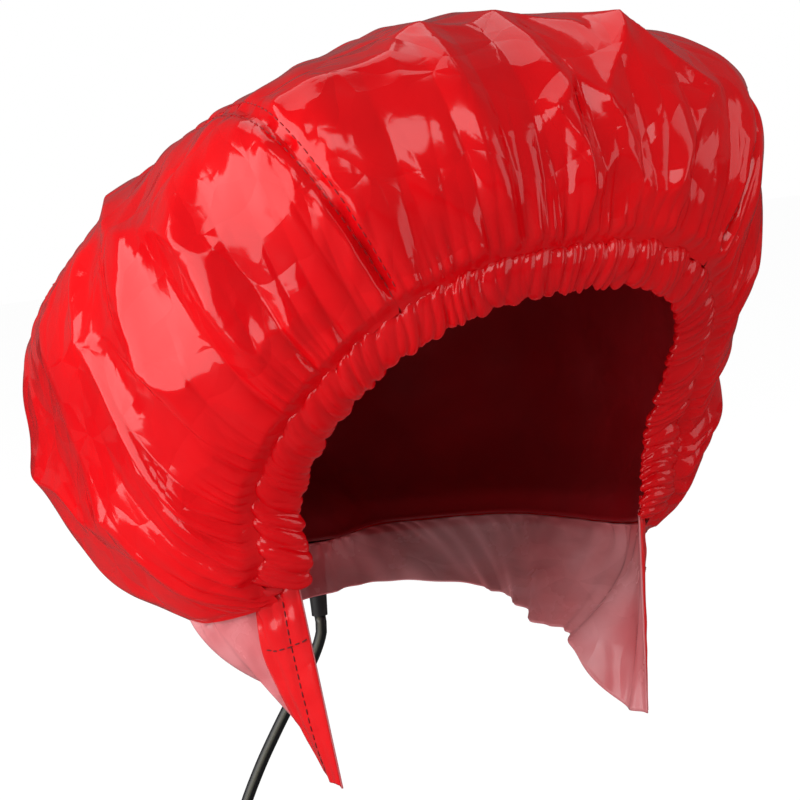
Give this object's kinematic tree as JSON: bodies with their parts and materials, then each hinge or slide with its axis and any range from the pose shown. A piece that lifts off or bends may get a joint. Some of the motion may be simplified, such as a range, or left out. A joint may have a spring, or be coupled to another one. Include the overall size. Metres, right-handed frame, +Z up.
{
  "type": "soft heating cap for hair conditioning",
  "caption": "Soft electric heating cap of glossy red film with a gathered elastic front, quilted heated lining, neck flap, and a black mains cord with an inline heat control.",
  "frame": {"origin": "middle of the wearer's head, from side to side and from front to back, at the height of the lower edge of the forehead hem", "axes": "+Z up through the crown, the face looks along -Y, and +X points to the wearer's left"},
  "size_m": [0.2471, 0.2734, 0.3783],
  "materials": {
    "red_film": "glossy, creased",
    "flap_film": "thin, cloudy, translucent",
    "lining_film": "soft, quilted",
    "red_tape": "woven",
    "wadding": "soft felt",
    "heater_fabric": "woven glass cloth",
    "elastic_webbing": "ribbed",
    "dark_thread": "twisted",
    "heater_wire": "drawn",
    "black_cord": "satin, with a pale line",
    "black_case": "fine grain",
    "light_plastic": "satin",
    "phenolic": "moulded",
    "board": "laminated",
    "silicone_wire": "soft",
    "steel": "plain",
    "contact_brass": "plain",
    "amber_lens": "clear amber",
    "neon": "clear"
  },
  "bodies": {
    "cap": {"outer_centre_panel": "red_film", "outer_side_panel_left": "red_film", "outer_side_panel_right": "red_film", "seam_tape_left": "red_tape", "seam_tape_right": "red_tape", "insulation_pad": "wadding", "heating_wire": "heater_wire", "heater_cloth": "heater_fabric", "lining": "lining_film", "front_casing": "red_film", "front_elastic": "elastic_webbing", "bottom_binding_left": "red_tape", "bottom_binding_right": "red_tape", "neck_flap": "flap_film", "flap_hem_left": "red_film", "flap_hem_right": "red_film", "tack_stitches": "dark_thread", "operating_thermostat_base": "phenolic", "operating_thermostat_can": "steel", "operating_bimetal_strip": "contact_brass", "safety_thermostat_base": "phenolic", "safety_thermostat_can": "steel", "safety_bimetal_strip": "contact_brass", "thermal_fuse": "steel", "fuse_sleeve": "silicone_wire", "crimp_sleeves": "contact_brass", "lead_wires": "silicone_wire", "cord_grommet": "black_cord", "cord_clamp": "black_case", "cord_inner_end": "black_cord", "cord_strain_relief": "black_cord", "cord_from_cap": "black_cord", "cord_coil_cap": "black_cord", "cord_to_control": "black_cord", "cord_from_control": "black_cord", "cord_coil_plug": "black_cord", "cord_to_plug": "black_cord", "coil_tie_cap": "black_case", "coil_tie_plug": "black_case", "control_case_bottom": "black_case", "control_case_top": "black_case", "contact_board": "board", "fixed_contacts": "contact_brass", "detent_spring": "steel", "half_heat_diode": "black_case", "indicator_lamp": "neon", "lamp_lens": "amber_lens", "control_screws": "steel", "control_grip_in": "black_cord", "control_grip_out": "black_cord", "plug_body": "black_case", "plug_blades": "contact_brass", "plug_strain_relief": "black_cord"},
    "slider": {"heat_slider": "light_plastic", "slider_contact": "contact_brass"}
  },
  "joints": [
    {"name": "heat_setting", "type": "slide", "parent": "cap", "child": "slider", "axis": [0, 1, 0], "range_m": [-0.006, 0.006]}
  ]
}
